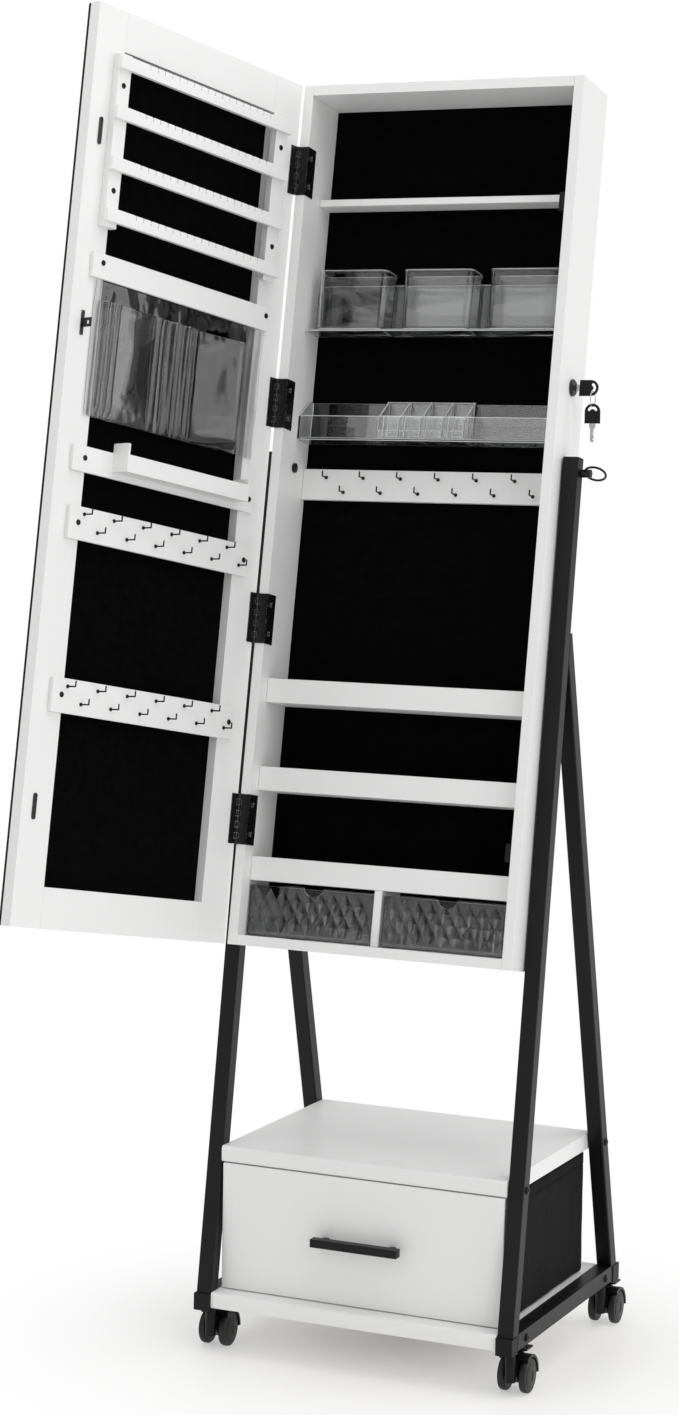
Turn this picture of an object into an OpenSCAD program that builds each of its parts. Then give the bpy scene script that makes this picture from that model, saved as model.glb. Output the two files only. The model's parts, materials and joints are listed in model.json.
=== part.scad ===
// Rolling jewelry armoire: a tilting mirror cabinet on a wheeled stand with a storage drawer.
// Millimetres, +Z up, +Y to the back. The origin is on the floor at the centre of the stand.
// The cabinet and the door are drawn in their own upright frames and then leaned and swung.

/* [Stand] */
// Outer size of the square tube
tube = 20; // [18:1:25]
// Wall of the square tube
tube_wall = 1.5; // [1:0.5:2]
// Distance from the centre to the outer face of each side frame
stand_half_w = 208; // [206:1:212]
// Front face of the front legs at the feet
front_foot_y = -184; // [-190:1:-180]
// Rear face of the rear legs at the feet
rear_foot_y = 200; // [195:1:210]
// Underside of the side rails
foot_z = 56; // [55:1:60]
// Lean of the front legs from upright
front_lean = 8.9; // [8:0.1:9.5]
// Lean of the rear legs from upright
rear_lean = 15; // [14:0.5:16]
// Length of the front legs along their front face, with the cap
front_leg_len = 1067; // [1060:1:1080]

/* [Storage drawer] */
// Thickness of the top and base boards
board_t = 20; // [16:1:20]
// Underside of the top board
top_board_z = 235; // [230:1:240]
// Front of the top board and of the drawer
shelf_front_y = -157; // [-160:1:-150]
// Half width of the drawer front
drawer_half_w = 185.5; // [184:0.5:187]
// Back of the fabric box
drawer_back_y = 134; // [120:1:150]

/* [Cabinet] */
// Cabinet width
cab_w = 372; // [370:1:373]
// Cabinet height
cab_h = 1082; // [1070:1:1090]
// Cabinet depth
cab_d = 88; // [84:1:92]
// Thickness of the cabinet walls
wall = 12.5; // [12:0.5:14]
// Depth of the pivot behind the cabinet's front edge
pivot_v = 41; // [38:1:44]
// Height of the pivot above the cabinet's underside
pivot_w = 600.5; // [595:0.5:605]
// Height of the pivot above the floor
pivot_z = 1090; // [1085:1:1095]
// How far the cabinet leans back
tilt = 10; // [8:0.5:14]

/* [Door] */
// Door width
door_w = 373; // [370:1:374]
// Thickness of the door frame
door_t = 15; // [12:1:18]
// Thickness of the mirror
mirror_t = 4; // [3:1:5]
// How far the door stands open
door_open = 105.3; // [90:0.1:120]
// Gap between the closed door and the cabinet
door_gap = 3; // [2.5:0.5:4]

/* [Casters] */
// Wheel diameter
wheel_d = 42; // [40:1:42]
// Distance from the stem to the axle
trail = 22; // [20:1:24]
// Stem of the front casters
front_stem_y = -160; // [-160:1:-158]
// Stem of the rear casters
rear_stem_y = 164; // [160:1:166]

/* [Hidden] */
$fn = 48;

black_metal = [0.06, 0.06, 0.065];
black_plastic = [0.05, 0.05, 0.05];
white_paint = [0.93, 0.93, 0.92];
black_felt = [0.03, 0.03, 0.03];
clear_plastic = [0.8, 0.85, 0.88, 0.4];
charcoal = [0.17, 0.17, 0.18];
silver = [0.8, 0.8, 0.8];

joint_gap = 0.1;        // seam between two boards of one carcass
run = 0.08;             // radial clearance of a turning fit
inner_x = stand_half_w - tube;
inner_u = cab_w / 2 - wall;
pivot_y = -9;
felt_v = cab_d - 9;     // face of the felt lining
felt_t = 3;

stem_r = 4;
stem_x = stand_half_w - tube / 2;
axle_z = wheel_d / 2;

// ---------- helpers ----------

// A block between two opposite corners
module block(lo, hi) {
    translate(lo) cube(hi - lo);
}

// A rectangle with rounded corners
module round_rect(w, h, r) {
    translate([r, 0]) square([w - 2 * r, h]);
    translate([0, r]) square([w, h - 2 * r]);
    for (x = [r, w - r], y = [r, h - r])
        translate([x, y]) circle(r);
}

// A cylinder along X between x0 and x1
module x_rod(x0, x1, r, y = 0, z = 0) {
    translate([x0, y, z]) rotate([0, 90, 0]) cylinder(h = x1 - x0, r = r);
}

// A cylinder along Y between y0 and y1
module y_rod(y0, y1, r, x = 0, z = 0) {
    translate([x, y1, z]) rotate([90, 0, 0]) cylinder(h = y1 - y0, r = r);
}

// Both sides of the stand
module both_sides() {
    children();
    mirror([1, 0, 0]) children();
}

// The leaning frame of the cabinet: X across, Y into its depth, Z up its face
module in_cabinet() {
    translate([0, pivot_y, pivot_z]) rotate([-tilt, 0, 0])
        translate([0, -pivot_v, -pivot_w]) children();
}

hinge_u = -cab_w / 2 - 1;
hinge_v = -door_gap / 2;

// The swung frame of the door: X from the hinge side, Y out of its inner face, Z up
module in_door() {
    in_cabinet() translate([hinge_u, hinge_v, 0]) rotate([0, 0, -door_open])
        translate([1, -door_gap / 2, 0]) children();
}

// ---------- stand ----------

front_tube_len = front_leg_len - 3;

// Full outline of a front leg, on the right
module front_leg_solid(len = front_tube_len) {
    translate([inner_x, front_foot_y, foot_z]) rotate([-front_lean, 0, 0])
        translate([0, 0, -8]) linear_extrude(len + 8) round_rect(tube, tube, 2);
}

module front_leg_core() {
    translate([inner_x + tube_wall, front_foot_y, foot_z]) rotate([-front_lean, 0, 0])
        translate([0, tube_wall, -8])
            linear_extrude(front_tube_len + 9)
                round_rect(tube - 2 * tube_wall, tube - 2 * tube_wall, 1);
}

// Everything in front of the front legs' rear face
module front_of_leg_rear() {
    translate([inner_x - 5, front_foot_y, foot_z]) rotate([-front_lean, 0, 0])
        translate([0, tube - 300, -100]) cube([tube + 10, 300, 1400]);
}

rear_leg_len = 880;

module rear_leg_solid(inset = 0) {
    translate([inner_x + inset, rear_foot_y, foot_z]) rotate([rear_lean, 0, 0])
        translate([0, inset - tube, -8]) linear_extrude(rear_leg_len)
            round_rect(tube - 2 * inset, tube - 2 * inset, 2 - inset / 2);
}

bolt_r = 3;
// Bolts that hold the boards between the side frames: [y, z]
board_bolts = [[-134, 65], [153, 65], [-143.5, 244], [140.5, 244]];

module board_bolt_holes(r) {
    for (b = board_bolts)
        x_rod(inner_x - 30, stand_half_w + 5, r, b[0], b[1]);
}

module front_legs() {
    color(black_metal) both_sides() difference() {
        front_leg_solid();
        front_leg_core();
        block([inner_x - 5, -260, 0], [stand_half_w + 5, -100, foot_z]);
        x_rod(inner_x - 1, stand_half_w + 1, bolt_r + run, pivot_y, pivot_z);
        board_bolt_holes(bolt_r + run);
        stem_bore(front_stem_y);
    }
}

// The hole that a caster's stem turns in
module stem_bore(y) {
    translate([stem_x, y, foot_z - 1]) cylinder(h = tube + 2, r = stem_r + run);
}

module rear_legs() {
    color(black_metal) both_sides() difference() {
        rear_leg_solid();
        rear_leg_solid(tube_wall);
        front_of_leg_rear();
        block([inner_x - 5, 100, 0], [stand_half_w + 5, 260, foot_z]);
        board_bolt_holes(bolt_r + run);
    }
}

module side_rails() {
    color(black_metal) both_sides() difference() {
        block([inner_x, front_foot_y + 8, foot_z], [stand_half_w, rear_foot_y - 8, foot_z + tube]);
        block([inner_x + tube_wall, front_foot_y, foot_z + tube_wall],
              [stand_half_w - tube_wall, rear_foot_y, foot_z + tube - tube_wall]);
        front_of_leg_rear();
        translate([0, 0.01, 0]) rear_of_leg_front();
        board_bolt_holes(bolt_r + run);
        stem_bore(front_stem_y);
        stem_bore(rear_stem_y);
    }
}

// Everything behind the rear legs' front face
module rear_of_leg_front() {
    translate([inner_x - 5, rear_foot_y, foot_z]) rotate([rear_lean, 0, 0])
        translate([0, -tube, -100]) cube([tube + 10, 300, 400]);
}

shoe_proud = 1;
shoe_top = 75;

module foot_shoe(y0, y1) {
    block([inner_x, y0, foot_z - 2], [stand_half_w + shoe_proud, y1, shoe_top]);
}

module leg_caps() {
    color(black_plastic) both_sides() {
        difference() {
            foot_shoe(front_foot_y - 1.5, front_foot_y + 17);
            front_leg_solid();
            front_leg_core();
            block([inner_x - 1, front_foot_y + 8, foot_z], [stand_half_w, 0, 90]);
        }
        difference() {
            foot_shoe(rear_foot_y - 20, rear_foot_y + 2);
            rear_leg_solid();
            block([inner_x - 1, 0, foot_z], [stand_half_w, rear_foot_y - 8, 90]);
        }
        translate([inner_x, front_foot_y, foot_z]) rotate([-front_lean, 0, 0])
            translate([0, 0, front_tube_len]) linear_extrude(3) round_rect(tube, tube, 2);
    }
}

bolt_head_r = 4.8;

module frame_bolts() {
    color(black_metal) both_sides() for (b = board_bolts) {
        x_rod(inner_x - 25, stand_half_w, bolt_r, b[0], b[1]);
        x_rod(stand_half_w, stand_half_w + 2, bolt_head_r, b[0], b[1]);
        x_rod(stand_half_w + 2, stand_half_w + 3, bolt_head_r - 1.2, b[0], b[1]);
    }
}

top_board_back_y = 149;
base_board_back_y = 176;
board_half_w = inner_x - 0.5;

// A board across the stand, with rounded front and back edges
module cross_board(y0, y1, z0, r) {
    difference() {
        translate([board_half_w, 0, 0]) rotate([0, -90, 0])
            linear_extrude(2 * board_half_w)
                translate([z0, y0]) round_rect(board_t, y1 - y0, r);
        both_sides() board_bolt_holes(bolt_r + run);
    }
}

module top_board() {
    color(white_paint) cross_board(shelf_front_y, top_board_back_y, top_board_z, 4);
}

module base_board() {
    color(white_paint)
        cross_board(front_foot_y + 2, base_board_back_y, foot_z + 1, 4);
}

// ---------- storage drawer ----------

drawer_bottom_z = foot_z + board_t + 2;
drawer_top_z = top_board_z - 1;
front_t = 15;
handle_half = 57;
handle_z = 155;

module drawer_front() {
    color(white_paint)
        block([-drawer_half_w, shelf_front_y, drawer_bottom_z],
              [drawer_half_w, shelf_front_y + front_t, drawer_top_z]);
}

// A solid bar on two short posts set in from its ends
module drawer_handle() {
    bar_front = shelf_front_y - 22;
    bar_back = bar_front + 12;
    color(black_metal) {
        block([-handle_half, bar_front, handle_z - 5], [handle_half, bar_back, handle_z + 5]);
        both_sides()
            block([handle_half - 17, bar_back - 1, handle_z - 3.5],
                  [handle_half - 9, shelf_front_y, handle_z + 3.5]);
    }
}

fabric_half_w = 183;
fabric_t = 3;

module fabric_drawer() {
    y0 = shelf_front_y + front_t;
    z1 = drawer_top_z - 3;
    color(charcoal) difference() {
        block([-fabric_half_w, y0, drawer_bottom_z], [fabric_half_w, drawer_back_y, z1]);
        block([-fabric_half_w + fabric_t, y0 + fabric_t, drawer_bottom_z + fabric_t],
              [fabric_half_w - fabric_t, drawer_back_y - fabric_t, z1 + 1]);
    }
}

// ---------- cabinet ----------

hinge_ws = [154, 404, 675, 972];
hinge_len = 62;
barrel_r = 2.6;
leaf_t = 0.8;

module barrel_notches() {
    for (w = hinge_ws)
        translate([hinge_u, hinge_v, w - hinge_len / 2 - 0.5])
            cylinder(h = hinge_len + 1, r = barrel_r + 0.5);
}

lock_v = 45;
lock_w = 706;

module cabinet_carcass() {
    color(white_paint) in_cabinet() difference() {
        union() {
            for (s = [-1, 1])
                block([s * (cab_w / 2 - wall / 2) - wall / 2, 0, 0],
                      [s * (cab_w / 2 - wall / 2) + wall / 2, cab_d, cab_h]);
            block([-inner_u + joint_gap, 0, 0], [inner_u - joint_gap, cab_d, wall]);
            block([-inner_u + joint_gap, 0, cab_h - wall], [inner_u - joint_gap, cab_d, cab_h]);
        }
        barrel_notches();
        for (s = [-1, 1])
            x_rod(s * cab_w / 2 - 30, s * cab_w / 2 + 30, bolt_r + run, pivot_v, pivot_w);
        x_rod(inner_u - 1, cab_w / 2 + 1, lock_body_r + run, lock_v, lock_w);
    }
}

lining_gap = 0.2;

module cabinet_back() {
    color(white_paint) in_cabinet()
        block([-inner_u + lining_gap, felt_v + felt_t, wall + lining_gap],
              [inner_u - lining_gap, cab_d, cab_h - wall - lining_gap]);
}

module felt_lining() {
    color(black_felt) in_cabinet()
        block([-inner_u + lining_gap, felt_v, wall + lining_gap],
              [inner_u - lining_gap, felt_v + felt_t, cab_h - wall - lining_gap]);
}

fit_u = inner_u - 0.3;      // half width of what fits between the walls
back_v = felt_v - 0.1;      // back of what stands against the felt

module top_shelf() {
    color(white_paint) in_cabinet() block([-fit_u, 47, 938], [fit_u, back_v, 947]);
}

// Bin rack: floor plate, back plate and two low end cheeks
rack_w = 775;
rack_t = 2.5;

module bin_rack() {
    color(clear_plastic) in_cabinet() {
        block([-fit_u, 36, rack_w], [fit_u, back_v, rack_w + rack_t]);
        block([-fit_u, back_v - rack_t, rack_w], [fit_u, back_v, 842]);
        for (s = [-1, 1])
            block([s * (fit_u - rack_t / 2) - rack_t / 2, 67, rack_w],
                  [s * (fit_u - rack_t / 2) + rack_t / 2, back_v, 832]);
    }
}

bin_w = 95;
bin_d = 37;
bin_h = 75;
bin_r = 9;
bin_t = 2;
bin_pitch = 115.5;
bin_floor = rack_w + rack_t + 1;

// Outline of a bin: square at the back, round at the front corners
module bin_outline(inset) {
    r = bin_r - inset;
    translate([inset, inset]) {
        translate([r, 0]) square([bin_w - 2 * inset - 2 * r, bin_d - 2 * inset]);
        translate([0, r]) square([bin_w - 2 * inset, bin_d - 2 * inset - r]);
        for (x = [r, bin_w - 2 * inset - r])
            translate([x, r]) circle(r);
    }
}

module bin(u) {
    color(clear_plastic) in_cabinet() translate([u - bin_w / 2, 38.5, bin_floor]) difference() {
        linear_extrude(bin_h) bin_outline(0);
        translate([0, 0, bin_t]) linear_extrude(bin_h) bin_outline(bin_t);
    }
}

module bin_left() {
    bin(-bin_pitch);
}

module bin_middle() {
    bin(0);
}

module bin_right() {
    bin(bin_pitch);
}

tray_v = 40;
tray_w = 637;
tray_t = 2.5;
tray_front_top = 668;
tray_back_top = 690;

module cosmetics_tray() {
    color(clear_plastic) in_cabinet() {
        block([-fit_u, tray_v, tray_w], [fit_u, back_v, tray_w + tray_t]);
        block([-fit_u, tray_v, tray_w], [fit_u, tray_v + tray_t, tray_front_top]);
        block([-fit_u, back_v - tray_t, tray_w], [fit_u, back_v, tray_back_top]);
        for (s = [-1, 1])
            translate([s * (fit_u - tray_t / 2) - tray_t / 2, 0, 0])
                side_profile(tray_t, [[tray_v, tray_w], [back_v, tray_w],
                                      [back_v, tray_back_top], [66, tray_back_top],
                                      [tray_v, tray_front_top]]);
    }
}

// A plate of thickness t across X with a [depth, height] outline
module side_profile(t, points) {
    rotate([90, 0, 90]) linear_extrude(t) polygon(points);
}

org_u0 = -66;
org_cells = 4;
org_pitch = 29;
org_t = 2;
org_v0 = tray_v + tray_t + 0.6;
org_v1 = back_v - tray_t - 0.6;
org_w = tray_w + tray_t + 0.5;

module lipstick_organizer() {
    u1 = org_u0 + org_cells * org_pitch + org_t;
    mid_v = (org_v0 + org_v1) / 2;
    color(clear_plastic) in_cabinet() {
        block([org_u0, org_v0, org_w], [u1, org_v1, org_w + org_t]);
        block([org_u0, org_v0, org_w], [u1, org_v0 + org_t, 651]);
        block([org_u0, mid_v - org_t / 2, org_w], [u1, mid_v + org_t / 2, 672]);
        block([org_u0, org_v1 - org_t, org_w], [u1, org_v1, 692]);
        for (i = [0 : org_cells])
            translate([org_u0 + i * org_pitch, 0, 0])
                side_profile(org_t, [[org_v0, org_w], [org_v1, org_w], [org_v1, 692],
                                     [org_v1 - 4, 692], [org_v0, 666]]);
    }
}

strip_v = 71;

module cabinet_hook_strip() {
    color(white_paint) in_cabinet()
        block([-fit_u, strip_v, 565.5], [fit_u, back_v, 604.5]);
}

hook_pitch = 50.7;
hook_out = 13;
hook_up = 6;
hook_wire_r = 0.9;

// A small L-hook that leaves a face along -Y and turns up
module hook() {
    y_rod(-1, 0, 2.2);
    y_rod(-hook_out, 0, hook_wire_r);
    translate([0, -hook_out, 0]) {
        sphere(hook_wire_r);
        cylinder(h = hook_up, r = hook_wire_r);
        translate([0, 0, hook_up]) sphere(hook_wire_r);
    }
}

// Two staggered rows of six hooks; the first of each row is given as [x, z]
module hook_rows(upper, lower) {
    for (start = [upper, lower], i = [0 : 5])
        translate([start[0] + i * hook_pitch, 0, start[1]]) hook();
}

module cabinet_hooks() {
    color(black_metal) in_cabinet() translate([0, strip_v, 0])
        hook_rows([-141, 594], [-116, 575.5]);
}

shelf_lip_v = 21;
shelf_lips = [[302, 332], [192.5, 222], [81, 110.5]];
shelf_t = 6;

module lipped_shelves() {
    color(white_paint) in_cabinet() for (lip = shelf_lips) {
        block([-fit_u, shelf_lip_v, lip[0]], [fit_u, back_v, lip[0] + shelf_t]);
        block([-fit_u, shelf_lip_v, lip[0]], [fit_u, shelf_lip_v + shelf_t, lip[1]]);
    }
}

module drawer_divider() {
    color(white_paint) in_cabinet()
        block([-4.5, 20, wall + 0.1], [5, back_v, 80.8]);
}

// A clear jewelry drawer between u0 and u1, with a finger notch in its front
module jewelry_drawer(u0, u1, notch_u) {
    t = 2.5;
    v0 = 18;
    v1 = back_v - 1;
    w0 = wall + 1;
    w1 = 77;
    color(clear_plastic) in_cabinet() difference() {
        block([u0, v0, w0], [u1, v1, w1]);
        block([u0 + t, v0 + t, w0 + t], [u1 - t, v1 - t, w1 + 1]);
        y_rod(v0 - 1, v0 + t + 1, 14, notch_u, w1 + 3);
    }
}

module jewelry_drawer_left() {
    jewelry_drawer(-fit_u, -5.5, -86.5);
}

module jewelry_drawer_right() {
    jewelry_drawer(6, fit_u, 90);
}

catch_u = 166;

module magnet_catches() {
    color(black_plastic) in_cabinet() for (w = [[915, 938], [127, 148.5]]) {
        block([catch_u, 1, w[0]], [inner_u, 15, w[1]]);
    }
}

// ---------- lock and keys ----------

lock_body_r = 8;
plug_r = 5.5;
keyway = 2.6;

module lock_housing() {
    color(silver) in_cabinet() difference() {
        union() {
            x_rod(cab_w / 2, cab_w / 2 + 2.5, 10.5, lock_v, lock_w);
            x_rod(cab_w / 2 + 2.5, cab_w / 2 + 4, 9, lock_v, lock_w);
            x_rod(inner_u - 6, cab_w / 2, lock_body_r, lock_v, lock_w);
        }
        x_rod(inner_u - 7, cab_w / 2 + 5, plug_r + run, lock_v, lock_w);
    }
}

cam_reach = 34;

module lock_plug() {
    color(silver) in_cabinet() translate([0, lock_v, lock_w]) difference() {
        union() {
            x_rod(inner_u - 8, cab_w / 2 + 3.5, plug_r);
            block([inner_u - 10, -5, -5], [inner_u - 8, 5, cam_reach]);
        }
        block([inner_u - 6, -keyway / 2, -2.8], [cab_w / 2 + 4, keyway / 2, 2.8]);
    }
}

bow_u = 208;        // centre of the key's bow
bow_flat = 12;      // from there to the bow's flat end
bow_arc = 2.2;      // and to the centre of its round end
bow_r = 9.8;
slot_inner_r = 3.3;
slot_outer_r = 6.7;
key_t = 2;
key_reach = 35;     // from the centre of the bow to the blade's tip

// A key with its D-shaped bow at the origin and its blade along -X
module key_shape() {
    rotate([90, 0, 0]) translate([0, 0, -key_t / 2]) linear_extrude(key_t) {
        difference() {
            union() {
                translate([-bow_flat, -bow_r]) square([bow_flat + bow_arc, 2 * bow_r]);
                translate([bow_arc, 0]) circle(bow_r);
            }
            translate([bow_arc, 0]) key_slot();
        }
        translate([-key_reach, -2.5]) square([key_reach - bow_flat, 5]);
        translate([-bow_flat - 5.5, -4]) square([5.5, 8]);
    }
}

// The curved slot round the bow's round end
module key_slot() {
    intersection() {
        difference() {
            circle(slot_outer_r);
            circle(slot_inner_r);
        }
        translate([2.2, -slot_outer_r]) square([slot_outer_r, 2 * slot_outer_r]);
    }
}

module key() {
    color(black_plastic) in_cabinet() translate([bow_u, lock_v, lock_w]) key_shape();
}

ring_r = 9.2;
ring_wire = 0.6;
ring_u = bow_u + bow_arc + 3.1;
ring_top_w = lock_w - 4.2;      // where the ring hangs in the bow's slot
spare_drop = 2 * ring_r + slot_outer_r + bow_arc - ring_wire - 0.1;

function lean_y(v, w) = pivot_y + (v - pivot_v) * cos(tilt) + (w - pivot_w) * sin(tilt);
function lean_z(v, w) = pivot_z - (v - pivot_v) * sin(tilt) + (w - pivot_w) * cos(tilt);

module spare_key() {
    color(silver) translate([ring_u, lean_y(lock_v, ring_top_w), lean_z(lock_v, ring_top_w)]) {
        translate([0, 0, -ring_r]) rotate([0, 90, 0])
            rotate_extrude() translate([ring_r, 0]) circle(ring_wire, $fn = 16);
        translate([0, 0, -spare_drop]) rotate([0, -90, 0]) key_shape();
    }
}

// ---------- pivots ----------

pivot_bolt_end = stand_half_w + 3;

module pivot_bolts() {
    color(black_metal) both_sides() {
        x_rod(inner_u - 3, inner_u, 6, pivot_y, pivot_z);
        x_rod(inner_u, pivot_bolt_end, bolt_r, pivot_y, pivot_z);
    }
}

eye_r = 12.8;
eye_wire = 1.4;

// A nut with a ring to turn it by
module pivot_knob() {
    x0 = stand_half_w + 0.3;
    color(black_metal) translate([0, pivot_y, pivot_z]) {
        difference() {
            x_rod(x0, x0 + 12.5, 5);
            x_rod(x0 - 1, pivot_bolt_end + 0.2, bolt_r + run);
        }
        translate([x0 + eye_r + 5, 0, 0]) rotate([-38, 0, 0])
            rotate_extrude() translate([eye_r, 0]) circle(eye_wire, $fn = 24);
    }
}

module pivot_knob_right() {
    pivot_knob();
}

module pivot_knob_left() {
    mirror([1, 0, 0]) pivot_knob();
}

// ---------- hinges ----------

knuckles = 9;
knuckle_len = hinge_len / knuckles;
pin_r = 1.3;

// The knuckles of one parity, grown by `grow` all round
module knuckle_set(parity, grow = 0) {
    for (i = [parity : 2 : knuckles - 1])
        translate([0, 0, -hinge_len / 2 + i * knuckle_len + 0.15 - grow])
            cylinder(h = knuckle_len - 0.3 + 2 * grow, r = barrel_r + grow);
}

module pin_bore() {
    translate([0, 0, -hinge_len]) cylinder(h = 2 * hinge_len, r = pin_r + run);
}

module hinge_cabinet_leaves() {
    color(black_metal) in_cabinet() for (w = hinge_ws)
        translate([hinge_u, hinge_v, w]) difference() {
            union() {
                difference() {
                    union() {
                        // over the front edge of the wall
                        block([0, -hinge_v - leaf_t, -hinge_len / 2],
                              [1 + wall + leaf_t, -hinge_v, hinge_len / 2]);
                        // along the inside of the wall
                        block([1 + wall, -hinge_v - leaf_t, -hinge_len / 2],
                              [1 + wall + leaf_t, -hinge_v + 22, hinge_len / 2]);
                    }
                    knuckle_set(1, 0.4);
                }
                knuckle_set(0);
            }
            pin_bore();
            for (z = [-18, 18])
                translate([1 + wall, 0, z]) x_rod(-1, 3, 2, 13.5 - hinge_v - 1.5, 0);
        }
}

module hinge_door_leaves() {
    color(black_metal) in_door() for (w = hinge_ws)
        translate([-1, door_gap / 2, w]) difference() {
            union() {
                difference() {
                    block([0, -door_gap / 2, -hinge_len / 2],
                          [12.5, -door_gap / 2 + leaf_t, hinge_len / 2]);
                    knuckle_set(0, 0.4);
                }
                knuckle_set(1);
            }
            pin_bore();
        }
}

module hinge_pins_screws() {
    color(black_metal) in_cabinet() for (w = hinge_ws) {
        translate([hinge_u, hinge_v, w - hinge_len / 2]) cylinder(h = hinge_len, r = pin_r);
        for (z = [-18, 18])
            x_rod(-inner_u + leaf_t, -inner_u + leaf_t + 1.6, 3.6, 12, w + z);
    }
}

// ---------- door ----------

recess_s = [49, 324];
recess_w = [48, 1034];

module door_barrel_notches() {
    for (w = hinge_ws)
        translate([-1, door_gap / 2, w - hinge_len / 2 - 0.5])
            cylinder(h = hinge_len + 1, r = barrel_r + 0.5);
}

module door_frame() {
    color(white_paint) in_door() difference() {
        union() {
            block([0, -door_t, 0], [recess_s[0], 0, cab_h]);
            block([recess_s[1], -door_t, 0], [door_w, 0, cab_h]);
            for (w = [[0, recess_w[0]], [recess_w[1], cab_h]])
                block([recess_s[0] + joint_gap, -door_t, w[0]],
                      [recess_s[1] - joint_gap, 0, w[1]]);
        }
        door_barrel_notches();
    }
}

recess_depth = 12;

module door_felt() {
    color(black_felt) in_door()
        block([recess_s[0] + lining_gap, -door_t + lining_gap, recess_w[0] + lining_gap],
              [recess_s[1] - lining_gap, -recess_depth, recess_w[1] - lining_gap]);
}

module door_mirror() {
    color(silver) in_door()
        block([0, -door_t - mirror_t, 0], [door_w, -door_t, cab_h]);
}

rack_stile_t = 10;
rack_bar_t = 6;
rack_front = rack_stile_t + rack_bar_t;
rack_bars = [826, 887, 948.5, 1008.5];
bar_h = 16;
slits = 18;
slit_pitch = 13;

module earring_rack() {
    color(white_paint) in_door() difference() {
        union() {
            for (s = [32, 320])
                block([s, 0, 820], [s + 21, rack_stile_t, 1028]);
            for (w = rack_bars)
                block([30, rack_stile_t, w], [343, rack_front, w + bar_h]);
        }
        for (w = rack_bars, i = [0 : slits - 1])
            translate([72.5 + i * slit_pitch, rack_stile_t - 1, w + bar_h - 5.5])
                cube([1, rack_bar_t + 2, 6]);
    }
}

module pouch_rail() {
    color(white_paint) in_door() block([30, 0, 759], [348, 5, 789]);
}

pouch_t = 1;
pouch_front = 15;

// One pocket of the pouch: back, front, ends and floor, open at its top
module pouch_pocket(s0, s1) {
    difference() {
        block([s0, 0.5, 598], [s1, pouch_front, 734]);
        block([s0 + pouch_t, 0.5 + pouch_t, 598 + pouch_t],
              [s1 - pouch_t, pouch_front - pouch_t, 735]);
    }
}

module clear_pouch() {
    color(clear_plastic) in_door() {
        block([36, 0.5, 596], [337, 0.5 + pouch_t, 758.8]);
        pouch_pocket(71, 217.5);
        pouch_pocket(216.5, 329);
    }
}

ledge_front = 30;

module ledge_tray() {
    color(white_paint) in_door() {
        block([27, 0, 530.5], [350, 5, 561]);
        block([65, 5, 538], [284, ledge_front, 541]);
        block([65, ledge_front - 3, 538], [284, ledge_front, 559]);
        block([65, 5, 538], [68, ledge_front, 566]);
        block([281, 5, 538], [284, ledge_front, 572]);
    }
}

module door_hook_strips() {
    color(white_paint) in_door() for (w = [[451, 490], [249, 289.5]])
        block([29, 0, w[0]], [347, 5.5, w[1]]);
}

module door_hooks() {
    color(black_metal) in_door() translate([0, 5.5, 0]) mirror([0, 1, 0]) for (w = [481.8, 280.4])
        hook_rows([69.5, w], [45, w - 18.4]);
}

strike_s = 352;

module door_strikes() {
    color(black_metal) in_door() {
        for (w = [[123.5, 154], [915, 948]])
            translate([0, 1.2, 0]) rotate([90, 0, 0]) linear_extrude(1.2)
                translate([350, w[0]]) round_rect(6, w[1] - w[0], 2.9);
        block([349.5, 0, 688.5], [354.5, 1.2, 717.5]);
        difference() {
            block([strike_s - 0.8, 0, 697.5], [strike_s + 0.8, 15, 708.5]);
            block([strike_s - 2, 8, 701], [strike_s + 2, 12, 705]);
        }
    }
}

// Screw heads on the door fittings: [distance from hinge side, face, height]
door_screw_places = [
    [331, rack_stile_t, 990], [42, rack_stile_t, 990],
    [331, rack_stile_t, 864], [42, rack_stile_t, 864],
    [331, 5, 778], [35.5, 5, 778], [330, 5, 547], [36, 5, 547],
    [331.5, 5.5, 471], [36, 5.5, 471], [331.5, 5.5, 270], [36, 5.5, 270]];

module door_screws() {
    color(black_metal) in_door() for (p = door_screw_places) {
        y_rod(p[1], p[1] + 1, 3.4, p[0], p[2]);
        y_rod(p[1] + 1, p[1] + 1.8, 2.4, p[0], p[2]);
    }
}

// ---------- casters ----------

web_half = 6.5;
hood_r = 25.5;
hood_inner_r = 22;
hood_half = 18.5;
axle_r = 3;
tab_pivot = [14, 17];       // brake pivot behind and above the axle

// Shapes below stand on the axle: X along it, Y to the trailing side, Z up
module caster_hood(x, y) {
    color(black_plastic) translate([x, y + trail, axle_z]) difference() {
        union() {
            // arc over both wheels
            rotate([90, 0, 90]) translate([0, 0, -hood_half]) linear_extrude(2 * hood_half)
                intersection() {
                    difference() {
                        circle(hood_r);
                        circle(hood_inner_r);
                    }
                    polygon([[0, 0], [-22, 40], [40, 40], [40, -2]]);
                }
            // web between the wheels
            rotate([90, 0, 90]) translate([0, 0, -web_half]) linear_extrude(2 * web_half)
                intersection() {
                    circle(hood_r - 0.5);
                    polygon([[-8, -8], [-30, 12], [-30, 40], [40, 40], [40, -2], [8, -8]]);
                }
            // stem column in front of the wheels
            translate([0, -trail, -4]) cylinder(h = 29, r = web_half);
            translate([0, -trail, 25]) cylinder(h = 5, r1 = web_half, r2 = stem_r + 1);
            translate([0, -trail, 25]) cylinder(h = 29, r = stem_r);
        }
        x_rod(-web_half - 1, web_half + 1, axle_r + run);
        // slot and bore for the brake tab
        block([-3.5, tab_pivot[0] - 7, 12], [3.5, tab_pivot[0] + 7, 30]);
        x_rod(-web_half - 1, web_half + 1, 1.5 + run, tab_pivot[0], tab_pivot[1]);
    }
}

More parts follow.
